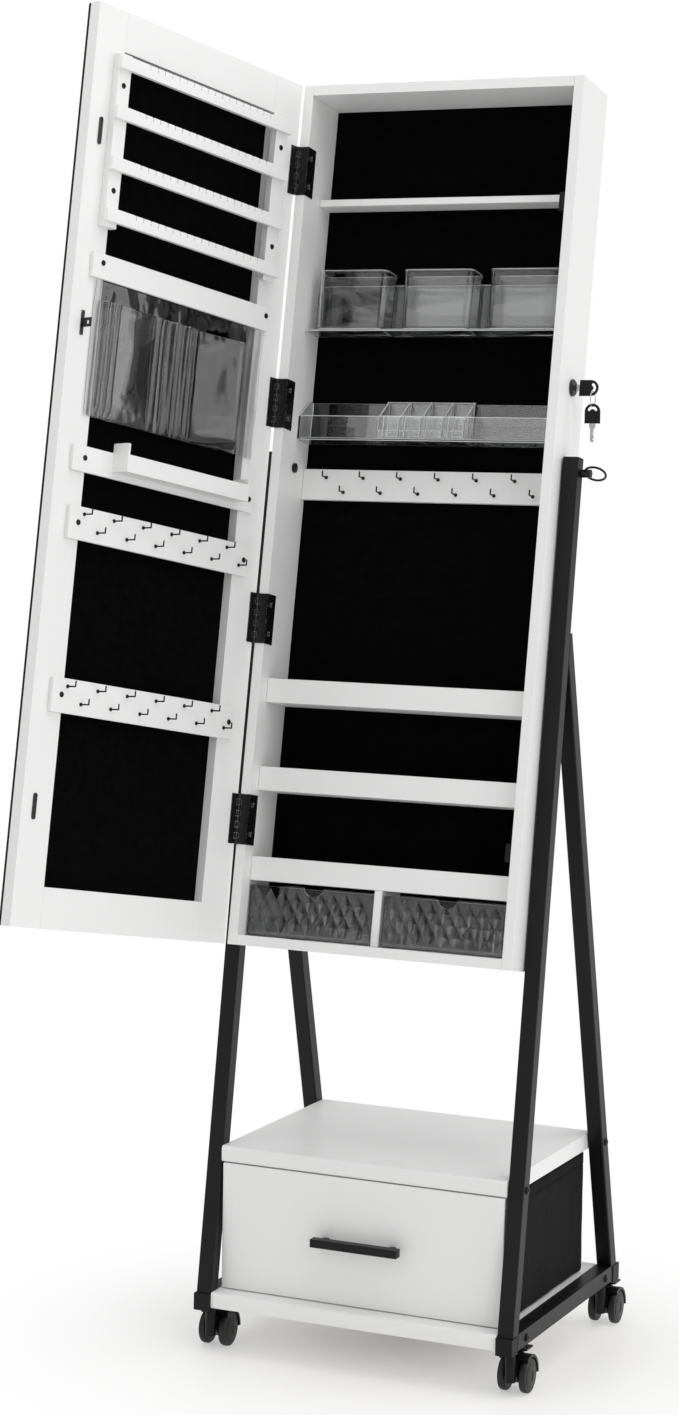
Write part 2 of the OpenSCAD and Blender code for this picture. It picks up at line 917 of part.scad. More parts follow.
module caster_wheels(x, y) {
    color(black_plastic) translate([x, y + trail, axle_z]) {
        x_rod(-9.5, 9.5, axle_r);
        for (s = [-1, 1]) {
            x_rod(s * 13.5 - 4.5, s * 13.5 + 4.5, wheel_d / 2);
            x_rod(s * 13.5 - 5.2, s * 13.5 + 5.2, 8);
        }
    }
}

module brake_tab(x, y) {
    color(black_plastic) translate([x, y + trail, axle_z]) {
        x_rod(-web_half, web_half, 1.5, tab_pivot[0], tab_pivot[1]);
        block([-3, tab_pivot[0] - 3.5, tab_pivot[1] - 2.5], [3, tab_pivot[0] + 3.5, 26]);
        block([-9, 8, 25.9], [9, 30, 28]);
    }
}

module caster_hood_front_left() { caster_hood(-stem_x, front_stem_y); }
module caster_hood_front_right() { caster_hood(stem_x, front_stem_y); }
module caster_hood_rear_left() { caster_hood(-stem_x, rear_stem_y); }
module caster_hood_rear_right() { caster_hood(stem_x, rear_stem_y); }
module caster_wheels_front_left() { caster_wheels(-stem_x, front_stem_y); }
module caster_wheels_front_right() { caster_wheels(stem_x, front_stem_y); }
module caster_wheels_rear_left() { caster_wheels(-stem_x, rear_stem_y); }
module caster_wheels_rear_right() { caster_wheels(stem_x, rear_stem_y); }
module brake_tab_front_left() { brake_tab(-stem_x, front_stem_y); }
module brake_tab_front_right() { brake_tab(stem_x, front_stem_y); }
module brake_tab_rear_left() { brake_tab(-stem_x, rear_stem_y); }
module brake_tab_rear_right() { brake_tab(stem_x, rear_stem_y); }

front_legs();
rear_legs();
side_rails();
leg_caps();
frame_bolts();
top_board();
base_board();
drawer_front();
drawer_handle();
fabric_drawer();
cabinet_carcass();
cabinet_back();
felt_lining();
top_shelf();
bin_rack();
bin_left();
bin_middle();
bin_right();
cosmetics_tray();
lipstick_organizer();
cabinet_hook_strip();
cabinet_hooks();
lipped_shelves();
drawer_divider();
jewelry_drawer_left();
jewelry_drawer_right();
magnet_catches();
lock_housing();
lock_plug();
key();
spare_key();
pivot_bolts();
pivot_knob_left();
pivot_knob_right();
hinge_cabinet_leaves();
hinge_door_leaves();
hinge_pins_screws();
door_frame();
door_felt();
door_mirror();
earring_rack();
pouch_rail();
clear_pouch();
ledge_tray();
door_hook_strips();
door_hooks();
door_strikes();
door_screws();
caster_hood_front_left();
caster_hood_front_right();
caster_hood_rear_left();
caster_hood_rear_right();
caster_wheels_front_left();
caster_wheels_front_right();
caster_wheels_rear_left();
caster_wheels_rear_right();
brake_tab_front_left();
brake_tab_front_right();
brake_tab_rear_left();
brake_tab_rear_right();
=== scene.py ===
"""A rolling jewelry armoire with a mirrored door, dressed around its CAD frame.

Lengths are metres. The cabinet and the door have leaning frames of their own, CAB and DOOR, in
which X runs across, Y into the depth (out of the door's inner face) and Z up the face.
"""

import json
import math

import bmesh
import bpy
from mathutils import Matrix, Vector, noise


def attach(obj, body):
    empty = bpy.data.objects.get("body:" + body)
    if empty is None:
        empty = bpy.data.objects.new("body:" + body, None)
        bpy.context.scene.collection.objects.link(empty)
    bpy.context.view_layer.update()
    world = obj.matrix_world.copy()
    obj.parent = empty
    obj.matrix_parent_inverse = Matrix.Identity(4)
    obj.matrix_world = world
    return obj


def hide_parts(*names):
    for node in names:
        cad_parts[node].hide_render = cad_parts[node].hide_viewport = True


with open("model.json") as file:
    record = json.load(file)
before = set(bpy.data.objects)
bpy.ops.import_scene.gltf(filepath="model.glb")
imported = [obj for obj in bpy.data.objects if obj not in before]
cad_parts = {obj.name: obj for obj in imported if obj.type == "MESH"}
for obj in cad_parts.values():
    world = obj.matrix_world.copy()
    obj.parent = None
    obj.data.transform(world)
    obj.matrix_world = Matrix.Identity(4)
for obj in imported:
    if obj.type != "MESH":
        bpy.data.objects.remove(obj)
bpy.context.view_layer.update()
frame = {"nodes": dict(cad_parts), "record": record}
NODES = frame["nodes"]
MM = 0.001

# ---------------------------------------------------------------- frames

TILT = math.radians(10.0)
DOOR_OPEN = math.radians(105.3)
PIVOT = Vector((0.0, -0.009, 1.090))
PIVOT_IN_CAB = Vector((0.0, 0.041, 0.6005))
HINGE_IN_CAB = Vector((-0.187, -0.0015, 0.0))
DOOR_FROM_HINGE = Vector((0.001, -0.0015, 0.0))

CAB = (
    Matrix.Translation(PIVOT)
    @ Matrix.Rotation(-TILT, 4, "X")
    @ Matrix.Translation(-PIVOT_IN_CAB)
)
DOOR = (
    CAB
    @ Matrix.Translation(HINGE_IN_CAB)
    @ Matrix.Rotation(-DOOR_OPEN, 4, "Z")
    @ Matrix.Translation(DOOR_FROM_HINGE)
)
WORLD = Matrix.Identity(4)


# ---------------------------------------------------------------- camera, light, floor

def make_camera():
    """The camera of the reference view: well in front, to the right, near the cabinet's middle."""
    yaw, pitch, roll = (math.radians(a) for a in (25.4, 3.6, 0.9))
    forward = Vector((-math.sin(yaw) * math.cos(pitch), math.cos(yaw) * math.cos(pitch),
                      -math.sin(pitch)))
    right = Vector((math.cos(yaw), math.sin(yaw), 0.0))
    up = right.cross(forward)
    right, up = (right * math.cos(roll) + up * math.sin(roll),
                 up * math.cos(roll) - right * math.sin(roll))
    data = bpy.data.cameras.new("camera")
    data.lens = 76.7
    data.sensor_width = 36.0
    data.shift_x = 0.0536
    data.shift_y = -0.0536
    data.clip_end = 60.0
    camera = bpy.data.objects.new("camera", data)
    bpy.context.scene.collection.objects.link(camera)
    axes = Matrix((right, up, -forward)).transposed().to_4x4()
    camera.matrix_world = Matrix.Translation((1.425, -3.456, 1.122)) @ axes
    bpy.context.scene.camera = camera


def area_light(name, place, aim, size, power):
    """A soft rectangular light at one place, aimed at another."""
    data = bpy.data.lights.new(name, "AREA")
    data.shape = "RECTANGLE"
    data.size, data.size_y = size
    data.energy = power
    light = bpy.data.objects.new(name, data)
    bpy.context.scene.collection.objects.link(light)
    direction = Vector(aim) - Vector(place)
    light.matrix_world = (Matrix.Translation(place)
                          @ direction.to_track_quat("-Z", "Y").to_matrix().to_4x4())


# Brightness of the studio around the object, by direction: 0 is left, 0.25 front, 0.5 right.
# A colour goes to 1, so the ramp holds half of it and the strength makes up for that.
PANELS = [(0.0, 0.60), (0.10, 0.60), (0.14, 0.9), (0.235, 0.9), (0.27, 0.35), (0.35, 0.35),
          (0.375, 1.9), (0.455, 1.9), (0.49, 0.80), (0.53, 1.9), (0.60, 1.9), (0.65, 0.70),
          (0.85, 0.70)]
STUDIO_STRENGTH = 0.78


def studio_world():
    """Plain white to look at; as a light, bright panels with dimmer gaps between them."""
    world = bpy.data.worlds.new("studio")
    world.use_nodes = True
    tree = world.node_tree
    place = tree.nodes.new("ShaderNodeTexCoord")
    around = tree.nodes.new("ShaderNodeTexGradient")
    around.gradient_type = "RADIAL"
    tree.links.new(place.outputs["Generated"], around.inputs["Vector"])
    panels = tree.nodes.new("ShaderNodeValToRGB")
    ramp = panels.color_ramp
    while len(ramp.elements) < len(PANELS):
        ramp.elements.new(0.5)
    for element, (position, value) in zip(ramp.elements, PANELS):
        element.position = position
        element.color = (value / 2, value / 2, value / 2, 1.0)
    tree.links.new(around.outputs["Fac"], panels.inputs["Fac"])
    lit = tree.nodes["Background"]
    lit.inputs["Strength"].default_value = 2.0 * STUDIO_STRENGTH
    tree.links.new(panels.outputs["Color"], lit.inputs["Color"])
    seen = tree.nodes.new("ShaderNodeBackground")
    seen.inputs["Color"].default_value = (1.0, 1.0, 1.0, 1.0)
    mix = tree.nodes.new("ShaderNodeMixShader")
    path = tree.nodes.new("ShaderNodeLightPath")
    tree.links.new(path.outputs["Is Camera Ray"], mix.inputs["Fac"])
    tree.links.new(lit.outputs["Background"], mix.inputs[1])
    tree.links.new(seen.outputs["Background"], mix.inputs[2])
    tree.links.new(mix.outputs["Shader"], tree.nodes["World Output"].inputs["Surface"])
    return world


def make_studio():
    """The world, two soft lights and the floor."""
    scene = bpy.context.scene
    scene.view_settings.view_transform = "Standard"
    scene.world = studio_world()
    area_light("key", (-1.6, -3.4, 2.9), (0.0, 0.0, 0.9), (1.6, 1.6), 9.0)
    area_light("top", (0.0, -0.2, 3.8), (0.0, 0.0, 0.0), (3.0, 3.0), 42.0)

    mesh = bpy.data.meshes.new("floor")
    half = 14.0
    mesh.from_pydata([(-half, -half, 0), (half, -half, 0), (half, half, 0), (-half, half, 0)],
                     [], [(0, 1, 2, 3)])
    floor = bpy.data.objects.new("floor", mesh)
    scene.collection.objects.link(floor)
    floor.data.materials.append(floor_material())


# ---------------------------------------------------------------- materials

class Mat:
    """A Principled material with short calls for the nodes that it is made of."""

    def __init__(self, name):
        self.mat = bpy.data.materials.new(name)
        self.mat.use_nodes = True
        self.tree = self.mat.node_tree
        self.shader = self.tree.nodes["Principled BSDF"]
        self.place = self.tree.nodes.new("ShaderNodeTexCoord").outputs["Object"]

    def set(self, **values):
        for key, value in values.items():
            socket = self.shader.inputs[key.replace("_", " ")]
            socket.default_value = (*value, 1.0) if isinstance(value, tuple) else value
        return self

    def link(self, output, socket):
        self.tree.links.new(output, self.shader.inputs[socket])
        return self

    def stretched(self, scale, rotate=(0.0, 0.0, 0.0)):
        node = self.tree.nodes.new("ShaderNodeMapping")
        node.inputs["Scale"].default_value = scale
        node.inputs["Rotation"].default_value = rotate
        self.tree.links.new(self.place, node.inputs["Vector"])
        return node.outputs["Vector"]

    def noise(self, scale, detail=3.0, roughness=0.5, vector=None, distortion=0.0):
        node = self.tree.nodes.new("ShaderNodeTexNoise")
        node.inputs["Scale"].default_value = scale
        node.inputs["Detail"].default_value = detail
        node.inputs["Roughness"].default_value = roughness
        node.inputs["Distortion"].default_value = distortion
        self.tree.links.new(vector or self.place, node.inputs["Vector"])
        return node.outputs["Fac"]

    def wave(self, scale, direction="X", vector=None, distortion=0.0):
        node = self.tree.nodes.new("ShaderNodeTexWave")
        node.bands_direction = direction
        node.inputs["Scale"].default_value = scale
        node.inputs["Distortion"].default_value = distortion
        self.tree.links.new(vector or self.place, node.inputs["Vector"])
        return node.outputs["Fac"]

    def ramp(self, fac, stops):
        node = self.tree.nodes.new("ShaderNodeValToRGB")
        ramp = node.color_ramp
        while len(ramp.elements) < len(stops):
            ramp.elements.new(0.5)
        for element, (position, value) in zip(ramp.elements, stops):
            element.position = position
            colour = value if isinstance(value, tuple) else (value, value, value)
            element.color = (*colour, 1.0)
        self.tree.links.new(fac, node.inputs["Fac"])
        return node.outputs["Color"]

    def math(self, operation, a, b):
        node = self.tree.nodes.new("ShaderNodeMath")
        node.operation = operation
        for socket, value in zip(node.inputs, (a, b)):
            if isinstance(value, float):
                socket.default_value = value
            else:
                self.tree.links.new(value, socket)
        return node.outputs["Value"]

    def bump(self, height, strength, distance):
        node = self.tree.nodes.new("ShaderNodeBump")
        node.inputs["Strength"].default_value = strength
        node.inputs["Distance"].default_value = distance
        self.tree.links.new(height, node.inputs["Height"])
        self.link(node.outputs["Normal"], "Normal")
        return self


def floor_material():
    """A warm white floor near the object that runs out into the plain white of the studio."""
    m = Mat("studio_floor").set(Roughness=0.4, Specular_IOR_Level=0.3)
    m.link(m.ramp(m.noise(1.5), [(0.3, (0.925, 0.905, 0.885)), (0.7, (0.945, 0.93, 0.915))]),
           "Base Color")
    nodes, links = m.tree.nodes, m.tree.links
    distance = nodes.new("ShaderNodeVectorMath")
    distance.operation = "LENGTH"
    links.new(m.place, distance.inputs[0])
    far = nodes.new("ShaderNodeMapRange")
    far.interpolation_type = "SMOOTHSTEP"
    far.inputs["From Min"].default_value = -0.05
    far.inputs["From Max"].default_value = 0.60
    links.new(distance.outputs["Value"], far.inputs["Value"])
    glow = nodes.new("ShaderNodeEmission")
    mix = nodes.new("ShaderNodeMixShader")
    links.new(far.outputs["Result"], mix.inputs["Fac"])
    links.new(m.shader.outputs["BSDF"], mix.inputs[1])
    links.new(glow.outputs["Emission"], mix.inputs[2])
    links.new(mix.outputs["Shader"], nodes["Material Output"].inputs["Surface"])
    return m.mat


def white_board_material():
    """White painted board: a fine upright grain under the paint and a soft, uneven sheen."""
    m = Mat("white_board").set(Specular_IOR_Level=0.4)
    grain = m.noise(60.0, 5.0, 0.6, m.stretched((6.0, 6.0, 0.35)))
    m.link(m.ramp(m.noise(3.0, 2.0), [(0.3, (0.80, 0.80, 0.795)), (0.7, (0.83, 0.83, 0.825))]),
           "Base Color")
    m.link(m.ramp(m.noise(24.0, 4.0), [(0.35, 0.36), (0.7, 0.46)]), "Roughness")
    m.bump(grain, 0.10, 0.0004)
    return m.mat


def black_steel_material(name="black_steel", base=0.005, roughness=0.36):
    """Powder coat: a fine orange peel, with a little sheen."""
    m = Mat(name).set(Specular_IOR_Level=0.22)
    peel = m.noise(900.0, 2.0)
    m.link(m.ramp(m.noise(14.0, 3.0), [(0.3, base), (0.75, base * 1.5)]), "Base Color")
    m.link(m.ramp(peel, [(0.3, roughness), (0.7, roughness + 0.10)]), "Roughness")
    m.bump(peel, 0.25, 0.0002)
    return m.mat


def black_plastic_material(name="black_plastic", roughness=0.45):
    """Moulded black plastic with a fine grain."""
    m = Mat(name).set(Specular_IOR_Level=0.2)
    grain = m.noise(1400.0, 2.0)
    m.link(m.ramp(m.noise(30.0), [(0.3, 0.004), (0.7, 0.008)]), "Base Color")
    m.link(m.ramp(grain, [(0.3, roughness), (0.7, roughness + 0.08)]), "Roughness")
    m.bump(grain, 0.2, 0.00015)
    return m.mat


def felt_material():
    """Deep black flocked felt with short fibres."""
    m = Mat("felt").set(Specular_IOR_Level=0.03, Sheen_Weight=0.008, Sheen_Roughness=0.5)
    fibre = m.noise(1800.0, 4.0, 0.7)
    m.link(m.ramp(m.noise(90.0, 4.0), [(0.3, 0.0008), (0.7, 0.0022)]), "Base Color")
    m.link(m.ramp(fibre, [(0.0, 0.9), (1.0, 1.0)]), "Roughness")
    m.bump(fibre, 0.7, 0.0006)
    return m.mat


def fabric_material():
    """Charcoal canvas: a plain weave with slubs."""
    m = Mat("drawer_fabric").set(Specular_IOR_Level=0.08, Sheen_Weight=0.02, Sheen_Roughness=0.6)
    warp = m.wave(330.0, "Y")
    weft = m.wave(330.0, "Z")
    across = m.wave(330.0, "X")
    weave = m.math("ADD", m.math("MULTIPLY", warp, weft), m.math("MULTIPLY", across, weft))
    slub = m.noise(140.0, 3.0, 0.6, m.stretched((1.0, 1.0, 0.15)))
    tone = m.math("ADD", m.math("MULTIPLY", weave, 0.35), m.math("MULTIPLY", slub, 0.65))
    m.link(m.ramp(tone, [(0.2, (0.003, 0.003, 0.0033)), (0.8, (0.012, 0.012, 0.0125))]),
           "Base Color")
    m.link(m.ramp(slub, [(0.2, 0.8), (0.8, 0.95)]), "Roughness")
    m.bump(tone, 0.5, 0.0005)
    return m.mat


def hinge_material():
    """Black lacquered steel, glossy enough to glint on the knuckles."""
    m = Mat("hinge_metal").set(Specular_IOR_Level=0.35)
    m.link(m.ramp(m.noise(40.0), [(0.3, 0.004), (0.7, 0.007)]), "Base Color")
    m.link(m.ramp(m.noise(300.0), [(0.3, 0.20), (0.7, 0.30)]), "Roughness")
    return m.mat


def painted_acrylic_highlight_material():
    """Painted highlight for the edges of clear plastic: a whitish, partly diffuse finish that
    stands in for the light that runs inside the plastic and comes out at its edges.
    """
    m = Mat("acrylic_edge_highlight").set(Transmission_Weight=0.2, IOR=1.49)
    m.link(m.ramp(m.noise(40.0), [(0.3, (0.86, 0.875, 0.88)), (0.7, (0.93, 0.94, 0.945))]),
           "Base Color")
    m.link(m.ramp(m.noise(120.0), [(0.3, 0.12), (0.7, 0.25)]), "Roughness")
    return m.mat


def acrylic_material():
    """Clear moulded styrene with faint flow marks."""
    m = Mat("clear_acrylic").set(Transmission_Weight=1.0, IOR=1.49)
    m.link(m.ramp(m.noise(9.0), [(0.3, (0.975, 0.98, 0.98)), (0.7, (0.99, 0.995, 0.995))]),
           "Base Color")
    m.link(m.ramp(m.noise(60.0, 3.0), [(0.4, 0.0), (0.7, 0.012)]), "Roughness")
    return m.mat


def vinyl_material():
    """Thin clear vinyl, with soft ripples that catch the light."""
    m = Mat("clear_vinyl").set(Transmission_Weight=1.0, IOR=1.54)
    m.link(m.ramp(m.noise(12.0), [(0.3, 0.97), (0.7, 1.0)]), "Base Color")
    m.link(m.ramp(m.noise(40.0, 3.0), [(0.35, 0.0), (0.7, 0.03)]), "Roughness")
    m.bump(m.noise(14.0, 2.0, 0.4, m.stretched((1.0, 1.0, 0.35)), 0.4), 0.12, 0.004)
    return m.mat


def mirror_material():
    """Silvered glass, very slightly uneven."""
    m = Mat("mirror_glass").set(Metallic=1.0)
    m.link(m.ramp(m.noise(3.0), [(0.3, (0.90, 0.91, 0.91)), (0.7, (0.92, 0.93, 0.93))]),
           "Base Color")
    m.link(m.ramp(m.noise(8.0), [(0.3, 0.015), (0.7, 0.03)]), "Roughness")
    return m.mat


def metal_material(name, colour, roughness):
    """Brushed metal, a little rougher along its fine scratches."""
    m = Mat(name).set(Metallic=1.0)
    fine = m.noise(500.0, 4.0, 0.6, m.stretched((1.0, 1.0, 0.2)))
    m.link(m.ramp(m.noise(80.0), [(0.3, tuple(c * 0.9 for c in colour)), (0.7, colour)]),
           "Base Color")
    m.link(m.ramp(fine, [(0.3, roughness), (0.7, roughness + 0.08)]), "Roughness")
    m.bump(fine, 0.08, 0.0002)
    return m.mat


def rubber_material():
    """Soft black rubber, uneven in tone."""
    m = Mat("wheel_rubber").set(Specular_IOR_Level=0.4)
    grain = m.noise(700.0, 3.0)
    m.link(m.ramp(m.noise(60.0, 3.0), [(0.3, 0.005), (0.75, 0.012)]), "Base Color")
    m.link(m.ramp(grain, [(0.3, 0.42), (0.7, 0.55)]), "Roughness")
    m.bump(grain, 0.25, 0.0003)
    return m.mat


MIRROR_EDGE = black_plastic_material("mirror_edge", 0.25)
# Painted highlight: the whitish finish that clear plastic's rims, ridges and bevels take so that
# they show as bright lines.
ACRYLIC_HIGHLIGHT = painted_acrylic_highlight_material()
# Bevel finishes by slot, all painted highlights: the whitish acrylic highlight on clear plastic,
# and a bright metal that paints glints on the black hinges' edges and knuckles.
EDGE_HIGHLIGHTS = {"clear_acrylic": ACRYLIC_HIGHLIGHT,
         "hinge_metal": metal_material("hinge_edge_painted_glint", (0.75, 0.75, 0.76), 0.15)}
MATS = {
    "white_board": white_board_material(),
    "black_steel": black_steel_material(),
    "black_plastic": black_plastic_material(),
    "bolts": black_steel_material("bolts", 0.005, 0.28),
    "handle_black": black_steel_material("handle_black", 0.004, 0.34),
    "drawer_fabric": fabric_material(),
    "felt": felt_material(),
    "clear_acrylic": acrylic_material(),
    "clear_vinyl": vinyl_material(),
    "mirror_glass": mirror_material(),
    "hook_wire": black_steel_material("hook_wire", 0.004, 0.30),
    "hinge_metal": hinge_material(),
    "lock_chrome": metal_material("lock_chrome", (0.52, 0.52, 0.53), 0.16),
    "key_black": black_plastic_material("key_black", 0.38),
    "caster_plastic": black_plastic_material("caster_plastic", 0.32),
    "wheel_rubber": rubber_material(),
}

# ---------------------------------------------------------------- carried-over CAD nodes

SLOT_OF = {s["node"]: s["material_slot"] for s in frame["record"]["subparts"]}
BEVEL = {
    "white_board": 0.0011, "felt": 0.0004, "black_steel": 0.0004, "black_plastic": 0.0006,
    "clear_acrylic": 0.0008, "mirror_glass": 0.0006, "hinge_metal": 0.0003, "bolts": 0.0004,
    "handle_black": 0.0008, "caster_plastic": 0.0010, "wheel_rubber": 0.0016,
    "lock_chrome": 0.0003, "key_black": 0.0004,
}


NICKEL = metal_material("dark_nickel", (0.055, 0.055, 0.058), 0.12)
OWN_FINISH = {"lock_housing": NICKEL, "lock_plug": NICKEL, "hinge_pins_screws": MATS["lock_chrome"]}


def polish(node):
    """Gives a CAD node its finish and softens its edges."""
    obj = NODES[node]
    obj.data.materials.clear()
    obj.data.materials.append(OWN_FINISH.get(node, MATS[SLOT_OF[node]]))
    width = BEVEL.get(SLOT_OF[node])
    if width is None:
        return
    weld = obj.modifiers.new("weld", "WELD")
    weld.merge_threshold = 0.00001
    bevel = obj.modifiers.new("bevel", "BEVEL")
    bevel.width = width
    bevel.segments = 2
    bevel.limit_method = "ANGLE"
    bevel.angle_limit = math.radians(35)
    # Painted highlight: the bevels of clear plastic and of the hinges take the bright edge finish.
    if SLOT_OF[node] in EDGE_HIGHLIGHTS and node not in OWN_FINISH:
        obj.data.materials.append(EDGE_HIGHLIGHTS[SLOT_OF[node]])
        bevel.material = 1
    normals = obj.modifiers.new("normals", "WEIGHTED_NORMAL")
    normals.weight = 80


for node_name in NODES:
    polish(node_name)


# ---------------------------------------------------------------- mesh building

def round_outline(x0, x1, y0, y1, radii, steps=6):
    """A rectangle's outline with its own radius at each corner, anticlockwise from (x0, y0)."""
    corners = [(x0, y0, 1, 1, 180), (x1, y0, -1, 1, 270), (x1, y1, -1, -1, 0), (x0, y1, 1, -1, 90)]
    points = []
    for (x, y, sx, sy, start), r in zip(corners, radii):
        for i in range(steps + 1):
            a = math.radians(start + 90.0 * i / steps)
            points.append((x + sx * r + r * math.cos(a), y + sy * r + r * math.sin(a)))
    return points


def circle_points(radius, sides):
    """Points evenly around a circle."""
    return [(radius * math.cos(2 * math.pi * i / sides), radius * math.sin(2 * math.pi * i / sides))
            for i in range(sides)]


def soften(obj, width):
    """Rounds a piece's sharp edges by a width in millimetres."""
    soft = obj.modifiers.new("bevel", "BEVEL")
    soft.width = width * MM
    soft.segments = 2
    soft.limit_method = "ANGLE"
    soft.angle_limit = math.radians(35)
    obj.modifiers.new("normals", "WEIGHTED_NORMAL").weight = 80


# Where (a, b) across an axis and h along it lie in X, Y and Z
AXES = {
    "x": lambda a, b, h: (h, a, b),
    "y": lambda a, b, h: (b, h, a),
    "z": lambda a, b, h: (a, b, h),
}


class Piece:
    """A mesh built in millimetres in a local frame, then placed on the object."""

    def __init__(self):
        self.bm = bmesh.new()

    def skin(self, loops, caps=(True, True), material=0, ring=True):
        """Joins loops of points, each with as many points, by rows of quads."""
        rows = [[self.bm.verts.new(p) for p in loop] for loop in loops]
        count = len(rows[0])
        for low, high in zip(rows, rows[1:]):
            for j in range(count if ring else count - 1):
                k = (j + 1) % count
                self.bm.faces.new((low[j], low[k], high[k], high[j])).material_index = material
        if caps[0]:
            self.bm.faces.new(rows[0][::-1]).material_index = material
        if caps[1]:
            self.bm.faces.new(rows[-1]).material_index = material
        return rows

    def prism(self, outline, axis, low, high, material=0):
        """Extrudes an outline along an axis."""
        place = AXES[axis]
        self.skin([[place(a, b, h) for a, b in outline] for h in (low, high)], material=material)

    def block(self, lo, hi, material=0):
        """A box from its lowest corner to its highest."""
        outline = [(lo[0], lo[1]), (hi[0], lo[1]), (hi[0], hi[1]), (lo[0], hi[1])]
        self.prism(outline, "z", lo[2], hi[2], material)

    def lathe(self, profile, axis, centre=(0, 0, 0), sides=40, material=0):
        """Turns (radius, height) points about an axis; the ends are closed."""
        place = AXES[axis]
        loops = []
        for radius, height in profile:
            loops.append([tuple(c + p for c, p in zip(centre, place(a, b, height)))
                          for a, b in circle_points(radius, sides)])
        self.skin(loops, material=material)

    def tube(self, path, radius, sides=12, closed=False, material=0):
        """A round wire along a path of points."""
        path = [Vector(p) for p in path]
        count = len(path)
        loops = []
        normal = None
        for i, point in enumerate(path):
            before = path[(i - 1) % count] if closed or i else point
            after = path[(i + 1) % count] if closed or i < count - 1 else point
            tangent = (after - before).normalized()
            if normal is None:
                normal = tangent.orthogonal().normalized()
            normal = (normal - tangent * normal.dot(tangent)).normalized()
            side = tangent.cross(normal)
            loops.append([point + normal * a + side * b for a, b in circle_points(radius, sides)])
        if closed:
            loops.append(loops[0])
            self.skin(loops, caps=(False, False), material=material)
            bmesh.ops.remove_doubles(self.bm, verts=self.bm.verts, dist=1e-5)
        else:
            self.skin(loops, material=material)

    def done(self, name, place, body, slot, replaces=(), materials=None, bevel=None, sharp=40.0):
        """Makes the object, with its faces outward, and rides it on its body."""
        bmesh.ops.recalc_face_normals(self.bm, faces=self.bm.faces)
        if self.bm.calc_volume(signed=True) < 0:
            bmesh.ops.reverse_faces(self.bm, faces=self.bm.faces)
        self.bm.transform(place @ Matrix.Scale(MM, 4))
        mesh = bpy.data.meshes.new(name)
        self.bm.to_mesh(mesh)
        self.bm.free()
        obj = bpy.data.objects.new(name, mesh)
        bpy.context.scene.collection.objects.link(obj)
        for material in materials or [MATS[slot]]:
            mesh.materials.append(material)
        mesh.shade_smooth()
        mesh.set_sharp_from_angle(angle=math.radians(sharp))
        if bevel:
            soften(obj, bevel)
        if replaces:
            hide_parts(*replaces)
        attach(obj, body)
        return obj


def cut(obj, other):
    """Cuts another piece out of a piece, and drops the other one."""
    tool = obj.modifiers.new("cut", "BOOLEAN")
    tool.operation = "DIFFERENCE"
    tool.solver = "EXACT"
    tool.object = other
    depsgraph = bpy.context.evaluated_depsgraph_get()
    mesh = bpy.data.meshes.new_from_object(obj.evaluated_get(depsgraph))
    obj.modifiers.remove(tool)
    obj.data = mesh
    bpy.data.objects.remove(other)


def wobble(x, y, z, size, seed=0.0):
    """Smooth noise between about -1 and 1, with features of the given size."""
    return noise.noise(Vector((x / size + seed, y / size - seed, z / size + 2 * seed)))


# ---------------------------------------------------------------- cabinet: clear plastic

BIN_W, BIN_D, BIN_H = 95.0, 37.0, 75.0
BIN_FRONT, BIN_FLOOR = 38.5, 778.5
BIN_PITCH = 115.5


def clear_bin(side, centre):
    """An open bin with round front corners, a rolled rim and a little draft."""
    wall, draft = 1.8, 1.6

    def loop(inset, height):
        lean = draft * (1 - height / BIN_H)
        radius = max(9.0 - inset, 2.0)
        back = max(2.5 - inset, 0.8)
        points = round_outline(inset + lean, BIN_W - inset - lean, inset + lean / 2, BIN_D - inset,
                               (radius, radius, back, back), 7)
        return [(x, y, height) for x, y in points]

    piece = Piece()
    piece.skin([
        loop(2.2, 0.0), loop(1.5, 0.2), loop(1.1, 0.9), loop(0.9, 3.0),
        loop(0.9, BIN_H - 4.5), loop(0.7, BIN_H - 3.6), loop(0.0, BIN_H - 3.0),
        loop(0.0, BIN_H - 0.6), loop(0.5, BIN_H), loop(wall, BIN_H), loop(wall + 0.6, BIN_H - 0.6),
        loop(0.9 + wall, BIN_H - 5.0), loop(0.9 + wall, wall + 2.2), loop(1.4 + wall, wall + 0.8),
        loop(2.4 + wall, wall),
    ])
    # Painted highlight: the rim and a thin line at the floor take the whitish edge finish, for the
    # light that comes out of the plastic there.
    for face in piece.bm.faces:
        height = face.calc_center_median().z
        if height > BIN_H - 0.7 or 0.1 < height < 1.0:
            face.material_index = 1
    place = CAB @ Matrix.Translation(Vector((centre - BIN_W / 2, BIN_FRONT, BIN_FLOOR)) * MM)
    piece.done(f"clear_bin_{side}", place, f"bin_{side}", "clear_acrylic", [f"bin_{side}"],
               materials=[MATS["clear_acrylic"], ACRYLIC_HIGHLIGHT], sharp=50.0)


for bin_side, bin_centre in (("left", -BIN_PITCH), ("middle", 0.0), ("right", BIN_PITCH)):
    clear_bin(bin_side, bin_centre)


DIAMOND_W, DIAMOND_H = 17.0, 29.0


